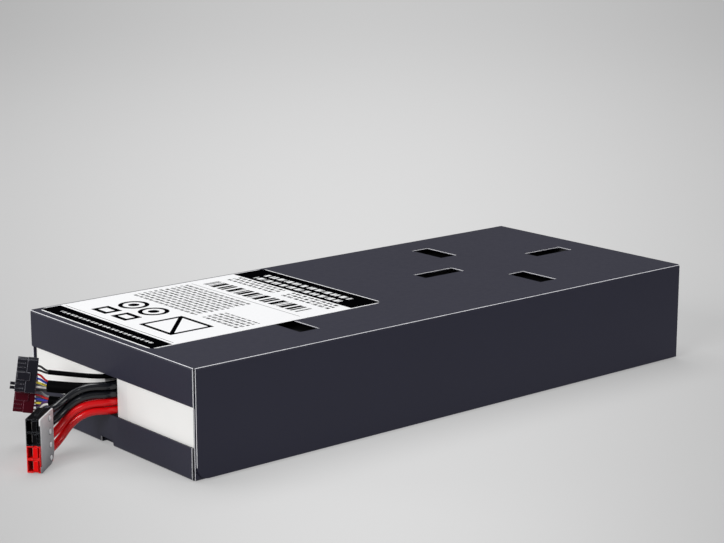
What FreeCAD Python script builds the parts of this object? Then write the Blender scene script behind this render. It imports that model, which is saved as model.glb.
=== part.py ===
import FreeCAD, Part
import math
import os

# Battery cartridge for an uninterruptible power supply, in millimetres.
# Six sealed 12 V blocks lie in two rows inside a two-piece sheet steel case.
# +X runs along the case, away from the end where the leads come out.
# -Y is the near long side, +Z is up. The origin is the centre of the case's base.

V = FreeCAD.Vector
os.makedirs("parts", exist_ok=True)

# Driving dimensions of the case
LENGTH = 480.0
WIDTH = 207.4
HEIGHT = 78.0
SHEET = 1.2
BEND_OUTER = 2.0
BEND_INNER = BEND_OUTER - SHEET
LAP_GAP = 0.3             # between the cover's walls and the tray's walls inside them
COVER_SLIT = 0.4          # open slit beside each of the cover's end flanges
TRAY_SLIT = 1.5           # and beside each of the tray's
COVER_BAND = 27.0         # depth of the cover's flange over the lead end
TRAY_BAND = 22.8          # height of the tray's flange at the lead end
COVER_SETBACK = 1.5       # the side walls stop short of the folded lead end
TRAY_SETBACK = 1.0
REAR_SETBACK = 1.6
COVER_SKIRT_Z = 1.0       # lower edge of the cover's side walls
COVER_REAR_Z = 2.0        # lower edge of the cover's rear wall
SKIRT_CORNER = 9.5        # rounded lower corner of the side walls
TRAY_WALL_TOP = 60.0
NOTCH_Y = (-4.7, 11.3)    # notch in the foot of the tray's flange
NOTCH_HEIGHT = 4.4
NOTCH_DEPTH = 5.0
HALF_L = LENGTH / 2
HALF_W = WIDTH / 2

# Slots through the cover: centre and size on X, centre and size on Y
SLOT_ACROSS = (18.0, 37.0)
SLOT_ALONG = (41.4, 15.4)
SLOT_ROW_X = (-120.8, 116.7)
SLOT_ROW_Y = 57.0
SLOT_MIDDLE_X = (69.7, 193.0)

# Countersunk screws through the rear walls
SCREW_SPOTS = [V(HALF_L, y, 40.0) for y in (-70.0, 0.0, 70.0)]
SCREW_HEAD_D = 6.0
SCREW_D = 3.0
SCREW_HEAD_L = 1.5
SCREW_L = 5.0

# Label on the cover, at the lead end
LABEL_FRONT = -HALF_L + 5.4
LABEL_LENGTH = 205.6
LABEL_NEAR = -HALF_W + 56.9
LABEL_WIDTH = 146.8
LABEL_T = 0.2
LABEL_CORNER = 6.5

# Battery blocks
BLOCK_L = 151.0
BLOCK_H = 93.0            # foot to lid, lying across the case
BLOCK_T = 65.0            # thickness, standing up in the case
LID_H = 12.0
BLOCK_ROUND = 2.0
FOOT_ROUND = 1.2
BLOCK_FRONT = -HALF_L + 2.7
BLOCK_PITCH = BLOCK_L + 4.0
BLOCK_Z = 6.0
WALL_PLAY = 0.3
TRAY_INNER_Y = HALF_W - SHEET - LAP_GAP - SHEET
LID_FACE_Y = TRAY_INNER_Y - WALL_PLAY - BLOCK_H
BLOCK_TOP = BLOCK_Z + BLOCK_T
BLOCKS_REAR = BLOCK_FRONT + 2 * BLOCK_PITCH + BLOCK_L
LINER_T = 0.8             # insulating sheets under and over the blocks
ROW_NAMES = ("front", "middle", "rear")
SIDES = (("near", -1), ("far", 1))

# Terminals: 6.35 mm tabs standing out of wells in the lid
TAB_W = 6.35
TAB_T = 0.8
TAB_PROUD = 6.3
WELL = (14.0, 5.0, 13.0)
TERMINAL_INSET = 9.5
TERMINAL_Z = BLOCK_Z + BLOCK_T - 10.0
BOOT = (9.2, 6.6, 5.8)
BARREL_D = 5.6
BARREL_L = 4.0
BARREL_Y = 4.2            # centre of the boots' barrels, off the middle of the channel
JUMPER_D = 4.6

# Harness
LEAD_D = 5.4
LEAD_Y = -4.8
LEAD_Z = (43.3, 37.7, 32.1, 26.4)
SPLICE_D = 5.5
SPLICE_FRONT = -212.0
SPLICE_REAR = -196.0
WRAP_REAR = -192.0
BUNDLE_D = 5.0
TAP_D = 1.6
WIRE_D = 1.5

# Power connector: four single-pole housings stacked on edge, standing on the floor
HOUSING_L = 27.3
HOUSING_W = 9.4
HOUSING_PITCH = 9.3
HOUSING_GAP = 0.06
MOUTH_DEPTH = 17.0
STACK_YAW = 41.3
STACK_CORNER = V(-307.8, -21.3, 0.0)
LEAD_IN = 4.5             # how far a lead goes into its housing
PLATE_T = 1.0
PLATE_H = 37.2
PLATE_PIN_X = 19.6
PIN_D = 2.6
PIN_HEAD_D = 3.8
PIN_HEAD_H = 0.6

# Sense connectors: two rows of eight ways at 3 mm pitch
SENSE_L = 14.2
SENSE_T = 7.4
SENSE_H = 23.6
SENSE_PITCH = 3.0
SENSE_WAYS = 8
SENSE_NOSE = 7.0          # length of the part divided into silos
SILO_GAP = 0.55
SENSE_HEADING = 32.0
SENSE_RISE = 8.5
SENSE_UPPER_CORNER = V(-280.5, 29.7, 38.6)
SENSE_LOWER_CORNER = V(-278.1, 37.6, 21.8)


# ---------------------------------------------------------------- helpers

def box(x0, x1, y0, y1, z0, z1):
    return Part.makeBox(x1 - x0, y1 - y0, z1 - z0, V(x0, y0, z0))


def rod(start, end, diameter):
    along = end - start
    return Part.makeCylinder(diameter / 2, along.Length, start, along)


def fuse(shapes):
    whole = shapes[0]
    for shape in shapes[1:]:
        whole = whole.fuse(shape)
    return whole.removeSplitter()


def rounded_where(shape, radius, axis, wanted):
    """Fillet the edges along one axis whose two end points both pass the test."""
    edges = [e for e in edges_along(shape, axis) if all(wanted(v.Point) for v in e.Vertexes)]
    return shape.makeFillet(radius, edges)


def near(a, b):
    return abs(a - b) < 1e-4


def edges_along(shape, axis):
    """The straight edges parallel to one axis."""
    lines = [e for e in shape.Edges if e.Curve.TypeId == "Part::GeomLine"]
    return [e for e in lines if near(abs(getattr(e.tangentAt(e.FirstParameter), axis)), 1)]


def route_path(points):
    """Straight runs joined by tangent arcs; returns the wire, its length and its radii."""
    edges = []
    radii = []
    start = points[0]
    for before, corner, after in zip(points, points[1:], points[2:]):
        back = (before - corner)
        ahead = (after - corner)
        setback = 0.45 * min(back.Length, ahead.Length)
        half_angle = back.getAngle(ahead) / 2
        radius = setback * math.tan(half_angle)
        back.normalize()
        ahead.normalize()
        into = corner + back * setback
        out = corner + ahead * setback
        middle = back + ahead
        middle.normalize()
        crown = corner + middle * (math.hypot(setback, radius) - radius)
        edges.append(Part.LineSegment(start, into).toShape())
        edges.append(Part.Arc(into, crown, out).toShape())
        radii.append(radius)
        start = out
    edges.append(Part.LineSegment(start, points[-1]).toShape())
    wire = Part.Wire(edges)
    return wire, wire.Length, radii


def tube(name, points, diameter):
    """A round cord along a route, with its radii and its volume checked in print."""
    wire, length, radii = route_path(points)
    heading = points[1] - points[0]
    circle = Part.Wire(Part.makeCircle(diameter / 2, points[0], heading))
    solid = wire.makePipeShell([circle], True, False)
    expected = math.pi * diameter ** 2 / 4 * length
    ratios = " ".join("%.1f" % (r / diameter) for r in radii)
    print("%-28s length %6.1f  volume/expected %.4f  radii in diameters %s"
          % (name, length, solid.Volume / expected, ratios))
    return solid


def axes_placement(origin, along, across, up):
    matrix = FreeCAD.Matrix(along.x, across.x, up.x, origin.x,
                            along.y, across.y, up.y, origin.y,
                            along.z, across.z, up.z, origin.z,
                            0, 0, 0, 1)
    return FreeCAD.Placement(matrix)


def placed(shape, placement):
    moved = shape.copy()
    moved.Placement = placement
    return moved


# ---------------------------------------------------------------- case

def folded_channel(x0, x1, half_width, z_edge, z_flat):
    """A flat web at z_flat with a wall down (or up) each long side to z_edge."""
    low, high = min(z_edge, z_flat), max(z_edge, z_flat)
    outer = box(x0, x1, -half_width, half_width, low, high)
    outer = rounded_where(outer, BEND_OUTER, "x",
                          lambda p: near(p.z, z_flat) and near(abs(p.y), half_width))
    inside_flat = z_flat - SHEET if z_flat > z_edge else z_flat + SHEET
    beyond = z_edge - 1 if z_flat > z_edge else z_edge + 1
    inner_half = half_width - SHEET
    inner = box(x0 - 1, x1 + 1, -inner_half, inner_half,
                min(beyond, inside_flat), max(beyond, inside_flat))
    inner = rounded_where(inner, BEND_INNER, "x",
                          lambda p: near(p.z, inside_flat) and near(abs(p.y), inner_half))
    return outer.cut(inner)


def folded_end(x_face, half_width, z_edge, z_flat):
    """An end flange folded off the web at z_flat, its outer face at x_face."""
    inward = 1 if x_face < 0 else -1
    x_root = x_face + inward * 10
    x_skin = x_face + inward * SHEET
    x_past = x_root + inward
    flat_in = z_flat - SHEET if z_flat > z_edge else z_flat + SHEET
    past = z_edge - 1 if z_flat > z_edge else z_edge + 1
    outer = box(min(x_face, x_root), max(x_face, x_root), -half_width, half_width,
                min(z_edge, z_flat), max(z_edge, z_flat))
    outer = rounded_where(outer, BEND_OUTER, "y",
                          lambda p: near(p.x, x_face) and near(p.z, z_flat))
    inner = box(min(x_skin, x_past), max(x_skin, x_past), -half_width - 1, half_width + 1,
                min(past, flat_in), max(past, flat_in))
    inner = rounded_where(inner, BEND_INNER, "y",
                          lambda p: near(p.x, x_skin) and near(p.z, flat_in))
    return outer.cut(inner)


def slot_centres():
    across = [(x, y * SLOT_ROW_Y, SLOT_ACROSS) for x in SLOT_ROW_X for y in (-1, 1)]
    along = [(x, 0.0, SLOT_ALONG) for x in SLOT_MIDDLE_X]
    return across + along


def screw(spot):
    head = Part.makeCone(SCREW_HEAD_D / 2, SCREW_D / 2, SCREW_HEAD_L, spot, V(-1, 0, 0))
    shank = rod(spot + V(-SCREW_HEAD_L, 0, 0), spot + V(-SCREW_L, 0, 0), SCREW_D)
    return fuse([head, shank])


def driver_cross(spot):
    """The cross recess in a screw's head."""
    depth = 0.9
    arms = [box(spot.x - depth, spot.x + 1, spot.y - a, spot.y + a, spot.z - b, spot.z + b)
            for a, b in ((1.5, 0.3), (0.3, 1.5))]
    return fuse(arms)


def room_for_fold(inner_half, end):
    """The stretch of web that gives way to an end's fold, between the side walls."""
    x_bend = end * (HALF_L - BEND_OUTER)
    x_past = end * (HALF_L + 1)
    return box(min(x_bend, x_past), max(x_bend, x_past), -inner_half, inner_half,
               -1, HEIGHT + 1)


def top_cover():
    skirt = folded_channel(-HALF_L + COVER_SETBACK, HALF_L - REAR_SETBACK,
                           HALF_W, COVER_SKIRT_Z, HEIGHT)
    for end in (-1, 1):
        skirt = skirt.cut(room_for_fold(HALF_W - SHEET, end))
    end_half = HALF_W - SHEET - COVER_SLIT
    lead_end = folded_end(-HALF_L, end_half, HEIGHT - COVER_BAND, HEIGHT)
    rear_end = folded_end(HALF_L, end_half, COVER_REAR_Z, HEIGHT)
    cover = fuse([skirt, lead_end, rear_end])
    cover = rounded_where(cover, SKIRT_CORNER, "y",
                          lambda p: near(p.x, -HALF_L + COVER_SETBACK)
                          and near(p.z, COVER_SKIRT_Z))
    for x, y, size in slot_centres():
        cover = cover.cut(box(x - size[0] / 2, x + size[0] / 2,
                              y - size[1] / 2, y + size[1] / 2, HEIGHT - 3, HEIGHT + 1))
    for spot in SCREW_SPOTS:
        cover = cover.cut(screw(spot))
    return cover


def foot_notch(grow):
    """The notch in the tray's foot, with room round it when grown."""
    return box(-HALF_L - 1, -HALF_L + NOTCH_DEPTH + grow, NOTCH_Y[0] - grow, NOTCH_Y[1] + grow,
               -1, NOTCH_HEIGHT + grow)


def bottom_tray():
    half = HALF_W - SHEET - LAP_GAP
    floor = folded_channel(-HALF_L + TRAY_SETBACK, HALF_L - SHEET - LAP_GAP - REAR_SETBACK,
                           half, TRAY_WALL_TOP, 0.0)
    floor = floor.cut(room_for_fold(half - SHEET, -1))
    end_half = half - SHEET - TRAY_SLIT
    lead_end = folded_end(-HALF_L, end_half, TRAY_BAND, 0.0)
    rear_end = folded_end(HALF_L - SHEET - LAP_GAP, end_half, TRAY_WALL_TOP, 0.0)
    tray = fuse([floor, lead_end, rear_end]).cut(foot_notch(0))
    # the side walls step back behind the cover's flange
    tray = tray.cut(box(-HALF_L, -HALF_L + SHEET + LAP_GAP, -HALF_W, HALF_W,
                        HEIGHT - COVER_BAND - 1, HEIGHT))
    for spot in SCREW_SPOTS:
        tray = tray.cut(screw(spot))
    return tray


def cover_screws():
    return Part.makeCompound([screw(s).cut(driver_cross(s)) for s in SCREW_SPOTS])


def label():
    sheet = box(LABEL_FRONT, LABEL_FRONT + LABEL_LENGTH, LABEL_NEAR, LABEL_NEAR + LABEL_WIDTH,
                HEIGHT, HEIGHT + LABEL_T)
    return sheet.makeFillet(LABEL_CORNER, edges_along(sheet, "z"))


# ---------------------------------------------------------------- packing inside the case

def base_liner():
    edge = TRAY_INNER_Y - 1.2
    sheet = box(-HALF_L + 2.4, HALF_L - 4.0, -edge, edge, SHEET, SHEET + LINER_T)
    return sheet.cut(foot_notch(1.0))


def base_foam_pads():
    pads = [box(BLOCK_FRONT, BLOCKS_REAR, y - 12.5, y + 12.5, SHEET + LINER_T, BLOCK_Z)
            for y in (-80.0, -30.0, 30.0, 80.0)]
    return Part.makeCompound(pads)


def row_foam_strips():
    strips = []
    for gap in (0, 1):
        x = BLOCK_FRONT + gap * BLOCK_PITCH + BLOCK_L
        for centre in (-54.0, 54.0):
            strips.append(box(x, x + BLOCK_PITCH - BLOCK_L, centre - 30, centre + 30, 12.0, 65.0))
    return Part.makeCompound(strips)


def end_foam_pads():
    lead_end = [box(-HALF_L + SHEET, BLOCK_FRONT, c - 40, c + 40, 7.5, 20.0) for c in (-54.0, 54.0)]
    rear = [box(BLOCKS_REAR, HALF_L - SCREW_L - 0.5, c - 42, c + 42, 10.0, 66.0)
            for c in (-54.0, 54.0)]
    return Part.makeCompound(lead_end + rear)


def top_insulating_sheet():
    edge = HALF_W - 4.0
    return box(BLOCK_FRONT, HALF_L - 4.0, -edge, edge, BLOCK_TOP, BLOCK_TOP + LINER_T)


def top_foam_strips():
    strips = [box(x - 8, x + 8, -95.0, 95.0, BLOCK_TOP + LINER_T, HEIGHT - SHEET)
              for x in (-212.0, -60.0, 20.0, 150.0, 226.0)]
    return Part.makeCompound(strips)


# ---------------------------------------------------------------- battery blocks

def block_front(row):
    return BLOCK_FRONT + row * BLOCK_PITCH


def terminal_xs(row):
    x = block_front(row)
    return (x + TERMINAL_INSET, x + BLOCK_L - TERMINAL_INSET)


def battery_case(side, row):
    """The block's container, its foot against the case wall."""
    x = block_front(row)
    foot = LID_FACE_Y + BLOCK_H
    body = box(x, x + BLOCK_L, LID_FACE_Y + LID_H, foot, BLOCK_Z, BLOCK_TOP)
    body = body.makeFillet(BLOCK_ROUND, edges_along(body, "y"))
    body = body.makeFillet(FOOT_ROUND, [e for e in body.Edges
                                        if near(e.BoundBox.YMin, foot)])
    return body if side > 0 else body.mirror(V(0, 0, 0), V(0, 1, 0))


def tab(x, side):
    inner = LID_FACE_Y + WELL[1] - 1.5
    outer = LID_FACE_Y - TAB_PROUD
    blade = box(x - TAB_W / 2, x + TAB_W / 2, outer, inner,
                TERMINAL_Z - TAB_T / 2, TERMINAL_Z + TAB_T / 2)
    hole_y = outer + 3.0
    blade = blade.cut(rod(V(x, hole_y, TERMINAL_Z - 2), V(x, hole_y, TERMINAL_Z + 2), 1.6))
    post = box(x - 4.5, x + 4.5, inner, inner + 1.5, TERMINAL_Z - 4.5, TERMINAL_Z + 4.5)
    whole = fuse([blade, post])
    return whole if side > 0 else whole.mirror(V(0, 0, 0), V(0, 1, 0))


def battery_lid(side, row):
    x = block_front(row)
    lid = box(x, x + BLOCK_L, LID_FACE_Y, LID_FACE_Y + LID_H, BLOCK_Z, BLOCK_TOP)
    lid = lid.makeFillet(BLOCK_ROUND, edges_along(lid, "y"))
    for terminal_x in terminal_xs(row):
        lid = lid.cut(box(terminal_x - WELL[0] / 2, terminal_x + WELL[0] / 2,
                          LID_FACE_Y - 1, LID_FACE_Y + WELL[1],
                          TERMINAL_Z - WELL[2] / 2, TERMINAL_Z + WELL[2] / 2))
    # groove round the cover plate over the vent valves
    outer = box(x + 22, x + BLOCK_L - 22, LID_FACE_Y - 1, LID_FACE_Y + 0.6, 22.0, 55.0)
    inner = box(x + 23, x + BLOCK_L - 23, LID_FACE_Y - 2, LID_FACE_Y + 2, 23.0, 54.0)
    lid = lid.cut(outer.cut(inner))
    return lid if side > 0 else lid.mirror(V(0, 0, 0), V(0, 1, 0))


def terminals(side):
    return Part.makeCompound([tab(x, side) for row in range(3) for x in terminal_xs(row)])


def barrel_direction(row, end):
    """Jumpers leave towards the neighbouring block; the outer pair turn inwards."""
    if row == 0 and end == 0:
        return 1
    if row == 2 and end == 1:
        return -1
    return 1 if end == 1 else -1


def boot(x, side, direction):
    """An insulated flag receptacle pushed over a tab, its barrel along the channel."""
    top = LID_FACE_Y - 0.3
    shell = box(x - BOOT[0] / 2, x + BOOT[0] / 2, top - BOOT[1], top,
                TERMINAL_Z - BOOT[2] / 2, TERMINAL_Z + BOOT[2] / 2)
    shell = shell.makeFillet(0.8, shell.Edges)
    start = V(x + direction * (BOOT[0] / 2 - 1), BARREL_Y, TERMINAL_Z)
    barrel = rod(start, V(x + direction * (BOOT[0] / 2 + BARREL_L), BARREL_Y, TERMINAL_Z), BARREL_D)
    whole = fuse([shell, barrel]).cut(tab(x, 1))
    return whole if side > 0 else whole.mirror(V(0, 0, 0), V(0, 1, 0))


def receptacles(side):
    boots = []
    for row in range(3):
        for end, x in enumerate(terminal_xs(row)):
            boots.append(boot(x, side, barrel_direction(row, end)))
    return Part.makeCompound(boots)


BARREL_REACH = BOOT[0] / 2 + BARREL_L


def jumper(side, row):
    """The short link from one block to the next."""
    start = terminal_xs(row)[1] + BARREL_REACH
    end = terminal_xs(row + 1)[0] - BARREL_REACH
    y = side * BARREL_Y
    return rod(V(start, y, TERMINAL_Z), V(end, y, TERMINAL_Z), JUMPER_D)


# ---------------------------------------------------------------- wiring inside the channel

FIRST_BARREL = terminal_xs(0)[0] + BARREL_REACH
LAST_BARREL = terminal_xs(2)[1] - BARREL_REACH

INNER_ROUTES = {
    "inner_lead_near_front": [V(FIRST_BARREL, -BARREL_Y, TERMINAL_Z), V(-176, -BARREL_Y, TERMINAL_Z),
                              V(-176, LEAD_Y, LEAD_Z[0]), V(SPLICE_REAR, LEAD_Y, LEAD_Z[0])],
    "inner_lead_far_front": [V(FIRST_BARREL, BARREL_Y, TERMINAL_Z), V(-158, 4.2, TERMINAL_Z),
                             V(-158, 3.6, LEAD_Z[1]), V(-178, LEAD_Y, LEAD_Z[1]),
                             V(SPLICE_REAR, LEAD_Y, LEAD_Z[1])],
    "inner_lead_near_rear": [V(SPLICE_REAR, LEAD_Y, LEAD_Z[2]), V(160, LEAD_Y, LEAD_Z[2]),
                             V(188, -BARREL_Y, TERMINAL_Z), V(LAST_BARREL, -BARREL_Y, TERMINAL_Z)],
    "inner_lead_far_rear": [V(SPLICE_REAR, LEAD_Y, LEAD_Z[3]), V(122, LEAD_Y, LEAD_Z[3]),
                            V(156, 3.8, 29.0), V(188, 4.2, TERMINAL_Z),
                            V(LAST_BARREL, BARREL_Y, TERMINAL_Z)],
}


def lead_splices():
    return Part.makeCompound([rod(V(SPLICE_FRONT, LEAD_Y, z), V(SPLICE_REAR, LEAD_Y, z), SPLICE_D)
                              for z in LEAD_Z])


def sense_harness_wrap():
    wrap = box(SPLICE_FRONT, WRAP_REAR, -1.4, 7.3, 26.5, 51.2)
    return wrap.makeFillet(2.0, edges_along(wrap, "x"))


BUNDLE_Y = 3.6
BUNDLE_Z = 29.2
BUNDLE_REAR = 110.0
TAP_SPOTS = ((-84.3, -1), (-84.3, 1), (70.7, -1), (70.7, 1))


def sense_bundle():
    """Taped voltage-sense wires lying along the channel."""
    return rod(V(WRAP_REAR, BUNDLE_Y, BUNDLE_Z), V(BUNDLE_REAR, BUNDLE_Y, BUNDLE_Z), BUNDLE_D)


def sense_taps():
    """Thin wires from the bundle up to each link between blocks."""
    taps = []
    for x, side in TAP_SPOTS:
        spot_x = x + side
        top = V(spot_x, side * BARREL_Y, TERMINAL_Z - JUMPER_D / 2 - 0.3)
        foot_y = BUNDLE_Y if side > 0 else BUNDLE_Y - 1
        foot = V(spot_x, foot_y, BUNDLE_Z + BUNDLE_D / 2)
        taps.append(rod(foot, top, TAP_D))
    return Part.makeCompound(taps)


# ---------------------------------------------------------------- leads and sleeves outside

YAW = math.radians(STACK_YAW)
STACK_ALONG = V(math.cos(YAW), math.sin(YAW), 0)
STACK_ACROSS = V(-math.sin(YAW), math.cos(YAW), 0)
STACK_REAR = STACK_CORNER + STACK_ALONG * HOUSING_L + STACK_ACROSS * (HOUSING_W / 2)


def housing_level(index):
    """Height of the middle of a housing, counted from the top."""
    return HOUSING_PITCH * (3.5 - index)


# The four leads leave the channel side by side, swing out and drop to the housings.
LEAD_PLAN = ((-226.0, -4.8), (-241.4, -4.2), (-255.1, 1.3), (-265.1, 7.5), (-276.3, 7.5))
LEAD_HEIGHTS = {
    "power_lead_black_upper": (43.3, 43.5, 45.1, 40.3, 33.8),
    "power_lead_black_lower": (37.7, 37.9, 39.1, 34.1, 25.8),
    "power_lead_red_upper": (32.1, 32.3, 32.9, 27.7, 17.4),
    "power_lead_red_lower": (26.4, 26.3, 27.3, 20.5, 8.5),
}
LEAD_ALIGN = 5.5          # a lead lines up with its housing this far behind it


def lead_route(index, heights):
    start = V(SPLICE_FRONT, LEAD_Y, LEAD_Z[index])
    middle = [V(x, y, z) for (x, y), z in zip(LEAD_PLAN, heights)]
    level = STACK_REAR + V(0, 0, housing_level(index))
    return [start] + middle + [level + STACK_ALONG * LEAD_ALIGN, level - STACK_ALONG * LEAD_IN]


SLEEVES = {
    "sense_sleeve_upper": (3.4, [V(-212, 3.3, 48.5), V(-226, 3.3, 48.5), V(-241, 4.6, 48.7),
                                 V(-256.4, 14.0, 50.9), V(-271.7, 25.4, 53.3)]),
    "sense_sleeve_middle": (8.4, [V(-212, 2.7, 41.0), V(-226, 2.7, 41.0), V(-241.8, 2.4, 41.1),
                                  V(-259, 11.3, 41.9), V(-271.8, 26.3, 43.0)]),
    "sense_sleeve_lower": (7.0, [V(-212, 3.3, 30.9), V(-226, 3.3, 30.9), V(-241.1, 3.1, 30.7),
                                 V(-257.3, 11.7, 30.8), V(-270.8, 27.2, 32.1)]),
}


# ---------------------------------------------------------------- power connector

def housing(index):
    """One single-pole housing: a mating mouth in front, a rail and a groove to stack on."""
    base = HOUSING_PITCH * (3 - index) + HOUSING_GAP / 2
    top = base + HOUSING_PITCH - HOUSING_GAP
    half = HOUSING_W / 2
    body = box(0, HOUSING_L, -half, half, base, top)
    body = rounded_where(body, 0.5, "z", lambda p: near(p.x, 0) and near(abs(p.y), half))
    mouth = box(-1, MOUTH_DEPTH, 0.2, 4.0, base + 0.8, top - 0.8)
    hood = box(-1, 9.0, -4.2, -3.0, base + 0.8, top - 0.8)
    steps = [box(-1, 1.2, -3.1, 0.3, base - 1, base + 1.0), box(-1, 1.2, -3.1, 0.3, top - 1.0, top + 1)]
    side_recess = box(5.0, 20.0, half - 0.5, half + 1, base + 2.2, top - 2.2)
    lead_bore = box(HOUSING_L - LEAD_IN, HOUSING_L + 1, -3.7, 3.7, base + 1.1, top - 1.1)
    body = body.cut(Part.makeCompound([mouth, hood, side_recess, lead_bore] + steps))
    if index < 3:
        body = body.cut(box(8.0, HOUSING_L + 1, -0.9, 0.9, base - 1, base + 0.9))
    else:
        body = body.cut(box(8.0, HOUSING_L + 1, -0.9, 0.9, base - 1, base + 0.5))
    rail = box(8.4, HOUSING_L - 0.5, -0.8, 0.8, top - 0.2, top + 0.7)
    return fuse([body, rail])


def contact(index):
    """The silver-plated tongue inside a housing's mouth."""
    middle = housing_level(index)
    blade = box(1.8, MOUTH_DEPTH, 0.2, 1.4, middle - 2.9, middle + 2.9)
    return blade.makeFillet(0.5, [e for e in blade.Edges if near(e.Vertexes[0].X, 1.8)
                                  and near(e.Vertexes[-1].X, 1.8)])


def side_plate():
    """The sheet bracket that ties the four housings together."""
    outer = -HOUSING_W / 2 - PLATE_T
    plate = box(0, HOUSING_L, outer, outer + PLATE_T, 0, PLATE_H)
    plate = rounded_where(plate, 9.0, "y", lambda p: near(p.x, HOUSING_L) and near(p.z, 0))
    plate = plate.cut(box(-1, 1.6, outer - 1, outer + 2, 4.4, 32.8))
    for index in range(4):
        level = housing_level(index)
        plate = plate.cut(rod(V(PLATE_PIN_X, outer - 1, level), V(PLATE_PIN_X, outer + 2, level), PIN_D))
    return plate


def plate_pins():
    """A domed pin through the plate into each housing."""
    pins = []
    outer = -HOUSING_W / 2 - PLATE_T
    for index in range(4):
        level = housing_level(index)
        shank = rod(V(PLATE_PIN_X, outer, level), V(PLATE_PIN_X, outer + PLATE_T, level), PIN_D)
        head = Part.makeCylinder(PIN_HEAD_D / 2, PIN_HEAD_H, V(PLATE_PIN_X, outer, level),
                                 V(0, -1, 0))
        rim = [e for e in head.Edges if near(e.BoundBox.YMax, outer - PIN_HEAD_H)]
        head = head.makeFillet(0.45, rim)
        pins.append(fuse([shank, head]))
    return Part.makeCompound(pins)


STACK_PLACE = axes_placement(STACK_CORNER + STACK_ACROSS * (HOUSING_W / 2),
                             STACK_ALONG, STACK_ACROSS, V(0, 0, 1))


# ---------------------------------------------------------------- sense connectors

HEADING = math.radians(SENSE_HEADING)
RISE = math.radians(SENSE_RISE)
SENSE_ALONG = V(math.cos(HEADING) * math.cos(RISE), -math.sin(HEADING) * math.cos(RISE),
                -math.sin(RISE))
SENSE_ACROSS = V(math.sin(HEADING), math.cos(HEADING), 0)
SENSE_UP = SENSE_ALONG.cross(SENSE_ACROSS)
WAY_FIRST = (SENSE_H - (SENSE_WAYS - 1) * SENSE_PITCH) / 2
WAY_COLUMNS = (SENSE_T / 2 - 1.5, SENSE_T / 2 + 1.5)
LATCH_W = 5.4
LATCH_L = 9.6
LATCH_PROUD = 1.3


def sense_place(corner):
    """Local X runs from the mating face back to the wires."""
    return axes_placement(corner - SENSE_ALONG * SENSE_L, SENSE_ALONG, SENSE_ACROSS, SENSE_UP)


def way_height(way):
    return WAY_FIRST + way * SENSE_PITCH


def sense_body():
    """Rear block, a nose divided into silos, and a latch arm in the middle of one side."""
    rear = box(SENSE_NOSE, SENSE_L, 0, SENSE_T, 0, SENSE_H)
    nose = box(0, SENSE_NOSE, 0.3, SENSE_T - 0.3, 0.2, SENSE_H - 0.2)
    body = fuse([rear, nose])
    cuts = []
    for way in range(SENSE_WAYS):
        z = way_height(way)
        for y in WAY_COLUMNS:
            cuts.append(box(-1, 5.0, y - 0.85, y + 0.85, z - 0.85, z + 0.85))
    half_gap = SILO_GAP / 2
    silo_root = SENSE_NOSE - 1.4
    for gap in range(1, SENSE_WAYS):
        z = WAY_FIRST + (gap - 0.5) * SENSE_PITCH
        cuts.append(box(-1, silo_root, -1, SENSE_T + 1, z - half_gap, z + half_gap))
    middle_y = SENSE_T / 2
    cuts.append(box(-1, silo_root, middle_y - half_gap, middle_y + half_gap, -1, SENSE_H + 1))
    body = body.cut(Part.makeCompound(cuts))
    middle = SENSE_H / 2
    arm = box(0.8, LATCH_L, -LATCH_PROUD, 0.0, middle - LATCH_W / 2, middle + LATCH_W / 2)
    foot = box(SENSE_NOSE, SENSE_NOSE + 2.4, -0.4, 0.2, middle - LATCH_W / 2, middle + LATCH_W / 2)
    hook = box(0.8, 2.2, -0.6, 0.9, middle - LATCH_W / 2, middle + LATCH_W / 2)
    return fuse([body, arm, foot, hook])


def sense_connector_upper():
    """The upper housing also carries two hollow guide posts beside its ways."""
    body = sense_body()
    for way in (0, 1):
        z = way_height(way)
        y = WAY_COLUMNS[1]
        post = rod(V(-3.4, y, z), V(0.3, y, z), 2.2)
        bore = rod(V(-6.0, y, z), V(5.0, y, z), 1.5)
        body = fuse([body, post]).cut(bore)
    return placed(body, sense_place(SENSE_UPPER_CORNER))


def sense_connector_lower():
    return placed(sense_body(), sense_place(SENSE_LOWER_CORNER))


# Each wire: where it leaves its sleeve's end (across, up) and the way it goes to (way, column)
UPPER_WIRES = (((0.0, 0.8), (6, 0)), ((0.0, -0.8), (5, 0)))
MIDDLE_WIRES = (((-1.4, 3.0), (4, 0)), ((-1.7, 1.3), (3, 0)), ((-1.8, -0.4), (2, 0)),
                ((-1.5, -2.1), (1, 0)), ((1.0, -3.1), (0, 1)))
LOWER_WIRES = (((-1.0, 2.4), (5, 0)), ((-1.4, 0.7), (4, 0)), ((-1.4, -1.0), (3, 0)),
               ((-0.8, -2.6), (2, 0)), ((1.1, -0.6), (1, 1)), ((0.9, -2.4), (0, 1)))
WIRE_EXIT = 0.22          # straight run at each end, as a share of the wire's reach


def wire_route(sleeve, offset, corner, way):
    """From a sleeve's end face to the back of one way of a connector."""
    points = SLEEVES[sleeve][1]
    heading = points[-1] - points[-2]
    heading.normalize()
    across = V(heading.y, -heading.x, 0)
    across.normalize()
    up = across.cross(heading)
    start = points[-1] - across * offset[0] + up * offset[1]
    level = way_height(way[0])
    end = corner + SENSE_ACROSS * WAY_COLUMNS[way[1]] + SENSE_UP * level
    straight = WIRE_EXIT * (end - start).Length
    return [start, start + heading * straight, end + SENSE_ALONG * straight, end]


def sense_wires(name, sleeve, corner, wires):
    tubes = []
    for number, (offset, way) in enumerate(wires):
        route = wire_route(sleeve, offset, corner, way)
        tubes.append(tube("%s %d" % (name, number + 1), route, WIRE_D))
    return Part.makeCompound(tubes)


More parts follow.
